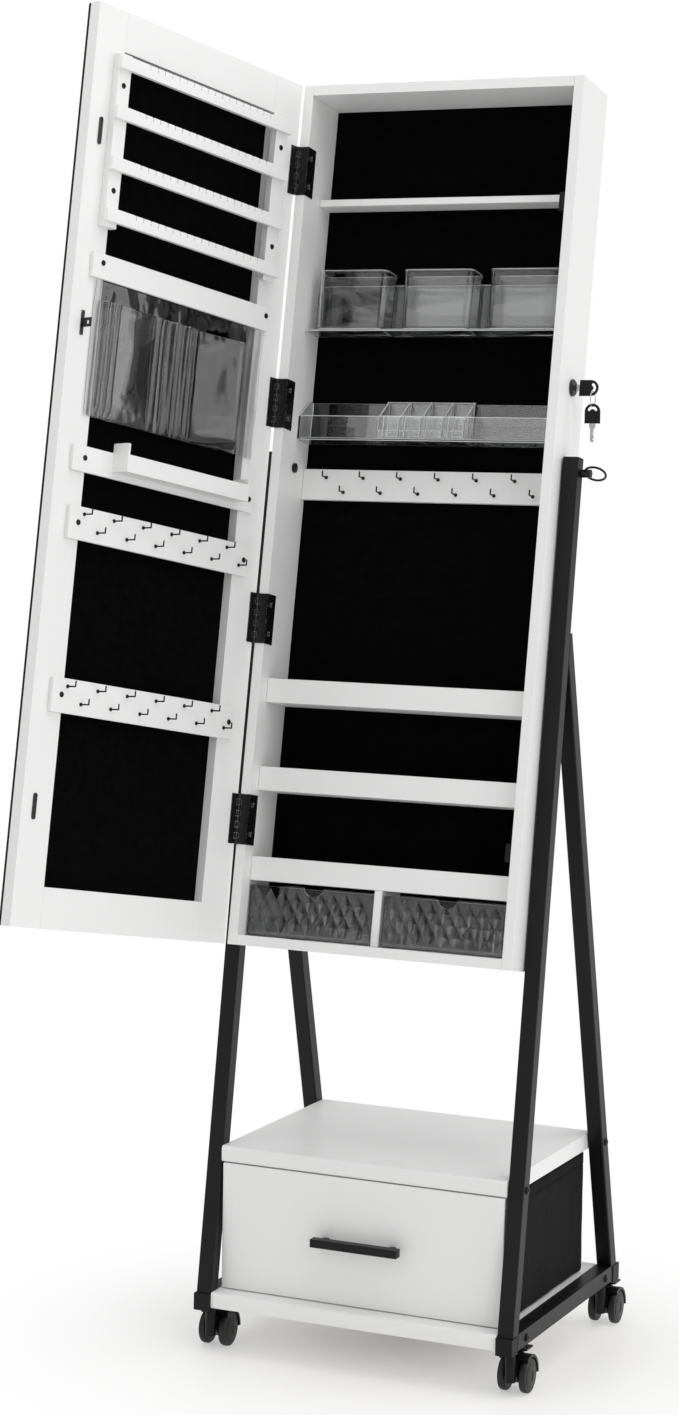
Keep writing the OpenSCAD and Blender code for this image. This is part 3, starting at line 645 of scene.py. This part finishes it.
def faceted_front(piece, outer, inner, back, face, tips):
    """A panel whose front is a lattice of pointed diamonds inside a plain border.

    `outer` and `inner` are (x0, x1, z0, z1); `back`, `face` and `tips` are distances along Y."""
    bm = piece.bm
    x0, x1, z0, z1 = inner
    columns = round((x1 - x0) / DIAMOND_W * 2)
    rows = round((z1 - z0) / DIAMOND_H * 2)

    def point(i, j):
        raised = (i + j) % 2 == 0 and 0 < i < columns and 0 < j < rows
        return bm.verts.new((x0 + (x1 - x0) * i / columns, tips if raised else face,
                             z0 + (z1 - z0) * j / rows))

    grid = [[point(i, j) for i in range(columns + 1)] for j in range(rows + 1)]
    for j in range(rows):
        for i in range(columns):
            a, b, c, d = grid[j][i], grid[j][i + 1], grid[j + 1][i + 1], grid[j + 1][i]
            split = ((a, b, d), (b, c, d)) if (i + j) % 2 == 0 else ((a, b, c), (a, c, d))
            for corners in split:
                bm.faces.new(corners)
    x0, x1, z0, z1 = outer
    near = [bm.verts.new((x, face, z)) for x, z in ((x0, z0), (x1, z0), (x1, z1), (x0, z1))]
    far = [bm.verts.new((x, back, z)) for x, z in ((x0, z0), (x1, z0), (x1, z1), (x0, z1))]
    sides = [grid[0], [row[-1] for row in grid], grid[-1][::-1], [row[0] for row in grid][::-1]]
    for k, side in enumerate(sides):
        n = (k + 1) % 4
        bm.faces.new([near[k], near[n]] + side[::-1])
        # The panel's sides take the painted edge highlight.
        bm.faces.new((near[k], near[n], far[n], far[k])).material_index = 1
    bm.faces.new(far)


DRAWER_FRONT_V, DRAWER_BACK_V = 18.0, 77.9
DRAWER_LOW, DRAWER_HIGH = 13.5, 77.0
NOTCH_R = 14.0


def notch_cutter(u):
    """A drum that cuts the finger notch out of a drawer's front."""
    cutter = Piece()
    cutter.lathe([(NOTCH_R, 5.0), (NOTCH_R, 30.0)], "y", (u, 0, DRAWER_HIGH + 3.0), 48)
    return cutter.done("cutter", CAB, "cabinet", "clear_acrylic")


def jewelry_drawer(side, u0, u1, notch_u):
    """A clear tray, and a faceted front that stands before it."""
    body = f"jewelry_drawer_{side}"
    v0, v1 = DRAWER_FRONT_V + 5.6, DRAWER_BACK_V
    wall = 1.8

    def loop(inset, height):
        radius = max(3.0 - inset, 1.0)
        points = round_outline(u0 + inset, u1 - inset, v0 + inset, v1 - inset, (radius,) * 4, 4)
        return [(x, y, height) for x, y in points]

    tray = Piece()
    top = DRAWER_HIGH - 1.0
    tray.skin([loop(1.5, DRAWER_LOW), loop(0.3, DRAWER_LOW + 1.2), loop(0.0, DRAWER_LOW + 4),
               loop(0.0, top - 0.5), loop(0.4, top), loop(wall, top),
               loop(wall, DRAWER_LOW + 5), loop(wall + 1.5, DRAWER_LOW + wall)])
    # Painted highlight: the tray's top rim takes the whitish edge finish.
    for face in tray.bm.faces:
        if face.calc_center_median().z > top - 0.3:
            face.material_index = 1
    clear = [MATS["clear_acrylic"], ACRYLIC_HIGHLIGHT]
    tray_obj = tray.done(f"{body}_tray", CAB, body, "clear_acrylic", materials=clear, sharp=50.0)
    opening = Piece()
    opening.block((u0 + wall + 0.5, v0 - 1.0, DRAWER_LOW + 6.0),
                  (u1 - wall - 0.5, v0 + wall + 1.0, DRAWER_HIGH + 1.0))
    cut(tray_obj, opening.done("opening", CAB, body, "clear_acrylic"))
    tray_obj.data.shade_smooth()
    tray_obj.data.set_sharp_from_angle(angle=math.radians(40))

    front = Piece()
    faceted_front(front, (u0, u1, DRAWER_LOW, DRAWER_HIGH),
                  (u0 + 4, u1 - 4, DRAWER_LOW + 4, DRAWER_HIGH - 4),
                  DRAWER_FRONT_V + 5.5, DRAWER_FRONT_V + 4.2, DRAWER_FRONT_V + 0.1)
    front_obj = front.done(f"{body}_front", CAB, body, "clear_acrylic", [body],
                           materials=clear)
    cut(front_obj, notch_cutter(notch_u))
    front_obj.data.shade_flat()
    # Painted highlight: faces that do not look along the depth, such as the sides and the notch's
    # rim, take the whitish edge finish.
    depth = CAB.to_3x3() @ Vector((0, 1, 0))
    for face in front_obj.data.polygons:
        face.material_index = int(abs(face.normal.dot(depth)) < 0.5)
    # Painted highlight: a thin bevel on every facet ridge and valley takes the whitish edge finish,
    # so the lattice shows bright lines.
    ridge_highlights = front_obj.modifiers.new("ridge_highlights", "BEVEL")
    ridge_highlights.width = 0.6 * MM
    ridge_highlights.segments = 1
    ridge_highlights.limit_method = "ANGLE"
    ridge_highlights.angle_limit = math.radians(8)
    ridge_highlights.material = 1


FIT_U = 173.2
jewelry_drawer("left", -FIT_U, -5.5, -86.5)
jewelry_drawer("right", 6.0, FIT_U, 90.0)


# ---------------------------------------------------------------- door: mirror and pouch

def door_mirror():
    """The mirror's bright face, with a ground edge and a dark painted back and rim."""
    width, height, thick = 373.0, 1082.0, 4.0
    face = -15.0 - thick
    ground = 1.6
    piece = Piece()
    outline = round_outline(0, width, 0, height, (1.5,) * 4, 3)
    inner = round_outline(ground, width - ground, ground, height - ground, (1.5,) * 4, 3)
    loops = [[(x, -15.0, z) for x, z in outline], [(x, face + 0.7, z) for x, z in outline],
             [(x, face, z) for x, z in inner]]
    piece.skin(loops[:2], caps=(True, False), material=1)
    piece.skin(loops[1:], caps=(False, True), material=0)
    bmesh.ops.remove_doubles(piece.bm, verts=piece.bm.verts, dist=1e-4)
    piece.done("mirror_plate", DOOR, "door", "mirror_glass", ["door_mirror"],
               materials=[MATS["mirror_glass"], MIRROR_EDGE], sharp=15.0)


door_mirror()

POUCH_S = (35.5, 337.5)
POUCH_W = (597.0, 757.5)
POCKET_W = (598.0, 734.0)
SEAM_S = 217.0
POCKET_S = (71.0, 329.0)
FRONT_S = (68.0, 331.5)
FILM = 0.35
RISE_MIN, RISE_MAX = 0.35, 12.2
WELD_R, HEM_R = 0.55, 0.45


def pleat(x, centre, width, height):
    """One soft fold: a bump of the given width and height."""
    return height * math.exp(-((x - centre) / width) ** 2)


def pocket_rise(s, w):
    """How far the pockets' front stands off their back sheet."""
    lift = (w - POCKET_W[0]) / (POCKET_W[1] - POCKET_W[0])
    if not POCKET_S[0] < s < POCKET_S[1]:
        return 0.0
    if s > SEAM_S:
        t = (s - SEAM_S) / (POCKET_S[1] - SEAM_S)
        folds = ((319.0, 3.4, 4.8), (309.5, 3.0, 4.2), (301.0, 2.6, 3.4), (226.0, 2.6, 3.6))
        bulge = math.sin(math.pi * t)
        rise = 8.0 * bulge ** 0.6 + 1.6 * bulge * (lift - 0.4) - 2.0
        crease = math.exp(-((s - 272) / 24.0) ** 2 - ((w - 612) / 17.0) ** 2)
        rise += crease * (0.2 * (s - 272) + 1.8 * wobble(s, w, 2.0, 10.0, 0.4))
    else:
        t = (SEAM_S - s) / (SEAM_S - POCKET_S[0])
        folds = ((212.0, 2.6, 4.2), (199.0, 5.6, 7.6), (186.5, 2.6, 3.6), (176.0, 5.0, 6.6),
                 (163.5, 2.8, 3.8), (157.0, 2.0, 2.2))
        run = max(0.0, 156.0 - s)
        rise = 1.0 + 0.105 * run + 0.0006 * run * run
    edge = min(1.0, t / 0.04, (1 - t) / 0.04)
    foot = min(1.0, lift / 0.10)
    for centre, width, height in folds:
        sway = 3.0 * (1 - lift) * wobble(centre, w, 0, 90.0, 3.1)
        rise += pleat(s + sway, centre, width, height * (0.7 + 0.3 * lift))
    rise += 0.15 * wobble(s, w * 0.5, 4.0, 40.0)
    return max(RISE_MIN, min(RISE_MAX, rise)) * foot ** 0.6 * edge ** 0.5


def vinyl_sheet(name, s_range, w_range, height, columns, rows):
    """A thin closed film over a grid; height(s, w) is its distance from the door's inner face."""
    piece = Piece()
    grid = []
    for side in (0.0, FILM):
        sheet_rows = []
        for i in range(rows + 1):
            w = w_range[0] + (w_range[1] - w_range[0]) * i / rows
            sheet_rows.append([
                (s_range[0] + (s_range[1] - s_range[0]) * j / columns,
                 height(s_range[0] + (s_range[1] - s_range[0]) * j / columns, w) + side, w)
                for j in range(columns + 1)])
        grid.append(piece.skin(sheet_rows, caps=(False, False), ring=False))
    back, face = grid
    edges = [([r[0] for r in back], [r[0] for r in face]),
             ([r[-1] for r in back], [r[-1] for r in face]),
             (back[0], face[0]), (back[-1], face[-1])]
    for low, high in edges:
        for a, b, c, d in zip(low, low[1:], high[1:], high):
            piece.bm.faces.new((a, b, c, d))
    obj = piece.done(name, DOOR, "door", "clear_vinyl", sharp=60.0)
    return obj


def back_rise(s, w):
    """The back film lies near the door below, and crinkles above the pockets' mouths."""
    loose = max(0.0, min(1.0, (w - POCKET_W[1] + 8.0) / 10.0))
    crinkle = 1.0 * wobble(s, w, 5.0, 24.0, 0.9) + 0.5 * wobble(s, w * 1.6, 7.0, 9.0, 2.3)
    flap = s < POCKET_S[0] or s > POCKET_S[1]
    ripple = 0.8 * (1.0 + math.sin(s * 0.55 + 0.02 * w)) if flap else 0.0
    return 0.9 + 0.4 * wobble(s, w, 0.0, 40.0) + loose * (1.2 + crinkle) + ripple


def front_rise(s, w):
    """The front film stands off the back one by the pockets' depth."""
    return back_rise(s, w) + 0.75 + pocket_rise(s, w)


def clear_pouch():
    """The hanging pouch: a back film, a pleated front film, welds and the hem at its foot."""
    back = vinyl_sheet("pouch_back", POUCH_S, POUCH_W, back_rise, 100, 54)
    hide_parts("clear_pouch")
    vinyl_sheet("pouch_front", FRONT_S, POCKET_W, front_rise, 280, 60)
    welds = Piece()
    for s in (POCKET_S[0] - 1.5, SEAM_S - 1.2, POCKET_S[1] - 0.5):
        points = [(s, front_rise(s, w) + 0.35, w)
                  for w in (POCKET_W[0] + 1 + i * 6.7 for i in range(21))]
        welds.tube(points, WELD_R, 8)
    for w in (POCKET_W[0] + 0.4, POCKET_W[1] - 0.3):
        points = [(s, front_rise(s, w) + 0.2, w)
                  for s in (FRONT_S[0] + 0.8 + i * 2.15 for i in range(122))]
        welds.tube(points, HEM_R, 8)
    welds.done("pouch_welds", DOOR, "door", "clear_vinyl", sharp=80.0)


clear_pouch()


# ---------------------------------------------------------------- storage drawer

def fabric_box():
    """The drawer's fabric box: soft panels, a fold seam down each side and a bound top edge."""
    x1, y0, y1 = 183.0, -142.0, 134.0
    low, high = 78.2, 230.8
    fold_y = 3.5
    samples = 30

    def outline(inset, z):
        """Anticlockwise points along the four walls, with small round corners."""
        points = []
        corners = [(-x1, y0), (x1, y0), (x1, y1), (-x1, y1)]
        r = max(5.0 - inset, 1.5)
        for k in range(4):
            ax, ay = corners[k]
            bx, by = corners[(k + 1) % 4]
            length = math.hypot(bx - ax, by - ay)
            dx, dy = (bx - ax) / length, (by - ay) / length
            nx, ny = dy, -dx
            for i in range(samples):
                t = r / length + (1 - 2 * r / length) * i / (samples - 1)
                x, y = ax + dx * length * t, ay + dy * length * t
                sag = math.sin(math.pi * t) * math.sin(math.pi * (z - low) / (high - low))
                push = -inset - 2.0 * sag + 0.7 * wobble(x, y, z, 34.0)
                if k in (1, 3):
                    push -= 2.6 * math.exp(-((y - fold_y) / 2.4) ** 2)
                    push += 0.9 * math.exp(-((y - fold_y) / 9.0) ** 2)
                points.append((x + nx * push, y + ny * push, z))
        return points

    levels = [(16.0, low), (5.0, low), (1.5, low + 1.2), (0.4, low + 4.0)]
    steps = 22
    levels += [(0.4, low + 4.0 + (high - low - 20.0) * i / steps) for i in range(1, steps)]
    levels += [(0.4, high - 16.0), (1.1, high - 15.2), (0.0, high - 14.4), (0.0, high - 2.0),
               (0.6, high - 0.5), (1.5, high), (2.6, high - 0.5), (3.0, high - 2.0),
               (3.0, high - 60.0), (3.0, low + 8.0), (4.0, low + 3.4)]
    piece = Piece()
    piece.skin([outline(inset, z) for inset, z in levels])
    piece.done("fabric_box", WORLD, "storage_drawer", "drawer_fabric", ["fabric_drawer"],
               sharp=50.0)
    binding = Piece()
    for drop in (13.0, 2.6):
        stitch = 3.2
        ring = outline(-0.15, high - drop)
        for a, b in zip(ring, ring[1:] + ring[:1]):
            start, end = Vector(a), Vector(b)
            length = (end - start).length
            for i in range(max(1, int(length / stitch))):
                p = start.lerp(end, (i + 0.2) * stitch / max(length, stitch))
                q = start.lerp(end, min(1.0, (i + 0.75) * stitch / max(length, stitch)))
                binding.tube([p, p.lerp(q, 0.5), q], 0.22, 5)
    binding.done("box_stitching", WORLD, "storage_drawer", "drawer_fabric", sharp=80.0)


fabric_box()


# ---------------------------------------------------------------- keys

KEY_U, LOCK_V, LOCK_W = 208.0, 45.0, 706.0
BOW_FLAT, BOW_ARC, BOW_R = 12.0, 2.2, 9.8
SLOT_R = (3.3, 6.7)
KEY_REACH = 35.0
RING_R, RING_WIRE = 9.2, 0.6
SPARE_DROP = 2 * RING_R + SLOT_R[1] + BOW_ARC - RING_WIRE - 0.1


def arc(cx, cy, radius, start, end, steps=16):
    """Points on an arc, from one angle in degrees to the other."""
    return [(cx + radius * math.cos(math.radians(start + (end - start) * i / steps)),
             cy + radius * math.sin(math.radians(start + (end - start) * i / steps)))
            for i in range(steps + 1)]


def bow_outline():
    """The key's bow: flat at the blade's end and round at the other."""
    return [(-BOW_FLAT, BOW_R), (-BOW_FLAT, -BOW_R)] + arc(BOW_ARC, 0, BOW_R, -90, 90, 24)


def slot_outline():
    """The curved slot in the bow that the ring passes through."""
    inner, outer = SLOT_R
    middle, half = (inner + outer) / 2, (outer - inner) / 2
    reach = 60.0
    low = [middle * f(math.radians(-reach)) for f in (math.cos, math.sin)]
    high = [middle * f(math.radians(reach)) for f in (math.cos, math.sin)]
    points = arc(0, 0, outer, -reach, reach)
    points += arc(*high, half, reach, reach + 180, 8)[1:-1]
    points += arc(0, 0, inner, reach, -reach)
    points += arc(*low, half, -reach - 180, -reach, 8)[1:-1]
    return [(x + BOW_ARC, y) for x, y in points]


def blade_outline():
    """The shoulder, the toothed edge, and the pointed tip of a key's blade."""
    shoulder = BOW_FLAT + 5.5
    points = [(-BOW_FLAT + 1, 3.9), (-BOW_FLAT + 1, -3.9), (-shoulder + 1, -3.9), (-shoulder, -2.4)]
    for i, depth in enumerate((1.2, 2.0, 1.0, 1.7)):
        x = -shoulder - 1.6 - 3.4 * i
        points += [(x, -2.4), (x - 0.9, -2.4 + depth), (x - 2.1, -2.4 + depth)]
    points += [(-KEY_REACH + 1.8, -2.4), (-KEY_REACH, -0.4), (-KEY_REACH + 1.0, 1.4)]
    points += [(-KEY_REACH + 2.6, 2.4), (-shoulder, 2.4), (-shoulder + 1, 3.9)]
    return points


def swap(points):
    """Points of an outline given as (x, z), in the order that a prism along Y takes."""
    return [(z, x) for x, z in points]


def make_key(name, place, body, replaces):
    """A key lying along X: a bow with its raised panel, and a grooved, toothed blade."""
    cutter = Piece()
    cutter.prism(swap(slot_outline()), "y", -3.0, 3.0)
    bow = Piece()
    bow.prism(swap(bow_outline()), "y", -1.0, 1.0)
    bow_obj = bow.done(f"{name}_bow", place, body, "key_black", replaces)
    cut(bow_obj, cutter.done("cutter", place, body, "key_black"))
    soften(bow_obj, 0.3)
    panel = Piece()
    panel.prism(round_outline(-5.8, 5.8, -9.8, -1.6, (1.2,) * 4, 4), "y", -1.25, 1.25)
    panel.done(f"{name}_panel", place, body, "key_black", bevel=0.2)
    blade = Piece()
    blade.prism(swap(blade_outline()), "y", -0.9, 0.9)
    for side in (-1, 1):
        rib = [(-KEY_REACH + 6, -0.2), (-BOW_FLAT - 6, -0.2), (-BOW_FLAT - 6, 0.7),
               (-KEY_REACH + 6, 0.7)]
        blade.prism(swap(rib), "y", side * 0.85, side * 1.1)
    blade.done(f"{name}_blade", place, body, "lock_chrome", bevel=0.15)


def keys():
    """The key in the lock, and the spare key that hangs from it on a ring."""
    place = CAB @ Matrix.Translation(Vector((KEY_U, LOCK_V, LOCK_W)) * MM)
    make_key("lock_key", place, "key", ["key"])
    ring_top = CAB @ (Vector((KEY_U + BOW_ARC + 3.1, LOCK_V, LOCK_W - 4.2)) * MM)
    hang = Matrix.Translation(ring_top)
    ring = Piece()
    turns = 48
    ring.tube([(0.0, RING_R * math.sin(a), -RING_R + RING_R * math.cos(a))
               for a in (2 * math.pi * i / turns for i in range(turns))],
              RING_WIRE, 10, closed=True)
    ring.done("key_ring", hang, "spare_key", "lock_chrome", sharp=80.0)
    turn = Matrix.Rotation(math.radians(-90.0), 4, "Y")
    spare = hang @ Matrix.Translation(Vector((0, 0, -SPARE_DROP)) * MM) @ turn
    make_key("spare", spare, "spare_key", ["spare_key"])


keys()


# ---------------------------------------------------------------- casters and bolts

CASTERS = {"front_left": (-198.0, -160.0), "front_right": (198.0, -160.0),
           "rear_left": (-198.0, 164.0), "rear_right": (198.0, 164.0)}
TRAIL, AXLE_Z, WHEEL_R = 22.0, 21.0, 21.0


def caster_wheels(corner, x, y):
    """Two wheels on their axle: a soft tread, a groove, and a domed hub cap."""
    piece = Piece()
    piece.lathe([(2.9, -9.5), (2.9, 9.5)], "x", (x, y + TRAIL, AXLE_Z), 24, 1)
    for side in (-1, 1):
        tread = [(15.6, -4.3), (18.6, -4.5), (20.2, -3.9), (WHEEL_R, -2.4), (WHEEL_R, 2.4),
                 (20.2, 3.9), (18.6, 4.5), (15.6, 4.3)]
        if side < 0:
            tread = [(r, -h) for r, h in reversed(tread)]
        centre = (x + side * 13.5, y + TRAIL, AXLE_Z)
        piece.lathe(tread, "x", centre, 64, 0)
        cap = [(15.7, side * 3.6), (15.0, side * 4.7), (12.0, side * 5.1), (6.5, side * 5.2),
               (6.0, side * 4.7), (3.0, side * 4.7)]
        piece.lathe([(15.7, -side * 3.6)] + cap, "x", centre, 64, 1)
    piece.done(f"wheel_pair_{corner}", WORLD, f"wheels_{corner}", "wheel_rubber",
               [f"caster_wheels_{corner}"],
               materials=[MATS["wheel_rubber"], MATS["caster_plastic"]], sharp=38.0)


for corner_name, (corner_x, corner_y) in CASTERS.items():
    caster_wheels(corner_name, corner_x, corner_y)


BOARD_BOLTS = [(-134.0, 65.0), (153.0, 65.0), (-143.5, 244.0), (140.5, 244.0)]
LEG_FACE, HEAD_REACH = 208.0, 211.0


def button_head(piece, axis, centre, side, radius, height, across):
    """A low domed screw head with a hexagonal socket, facing along the axis."""
    dome = [(radius, 0.0), (radius, 0.15 * height)]
    dome += [(radius * math.cos(a), height * (0.15 + 0.85 * math.sin(a)))
             for a in (math.radians(d) for d in (15, 30, 45, 55))]
    place = AXES[axis]
    loops = [[tuple(c + p for c, p in zip(centre, place(a, b, side * h)))
              for a, b in circle_points(r, 36)] for r, h in dome]
    top = dome[-1][1]
    hexagon = []
    for i in range(36):
        angle = 2 * math.pi * i / 36
        reach = across / math.cos((angle % (math.pi / 3)) - math.pi / 6)
        hexagon.append((reach * math.cos(angle), reach * math.sin(angle)))
    for h in (top + 0.02, top - 0.45 * height):
        loops.append([tuple(c + p for c, p in zip(centre, place(a, b, side * h)))
                      for a, b in hexagon])
    piece.skin(loops)


def frame_bolts():
    """The bolts that hold the two boards: a shank through the leg, and a head on its outside."""
    piece = Piece()
    for side in (-1, 1):
        for y, z in BOARD_BOLTS:
            piece.lathe([(3.0, -45.0), (3.0, 0.05)], "x", (side * LEG_FACE, y, z), 20)
            button_head(piece, "x", (side * LEG_FACE, y, z), side, 4.8, 2.9, 1.5)
    for v in piece.bm.verts:
        if abs(v.co.x) > HEAD_REACH:
            v.co.x = math.copysign(HEAD_REACH, v.co.x)
    piece.done("bolt_heads", WORLD, "stand", "bolts", ["frame_bolts"], sharp=35.0)


def door_screws():
    """Small domed screw heads on the door's fittings."""
    piece = Piece()
    places = [(331, 10, 990), (42, 10, 990), (331, 10, 864), (42, 10, 864), (331, 5, 778),
              (35.5, 5, 778), (330, 5, 547), (36, 5, 547), (331.5, 5.5, 471), (36, 5.5, 471),
              (331.5, 5.5, 270), (36, 5.5, 270)]
    for s, q, w in places:
        button_head(piece, "y", (s, q, w), 1, 3.4, 1.7, 1.0)
    piece.done("fitting_screws", DOOR, "door", "bolts", ["door_screws"], sharp=35.0)


frame_bolts()
door_screws()

make_camera()
make_studio()
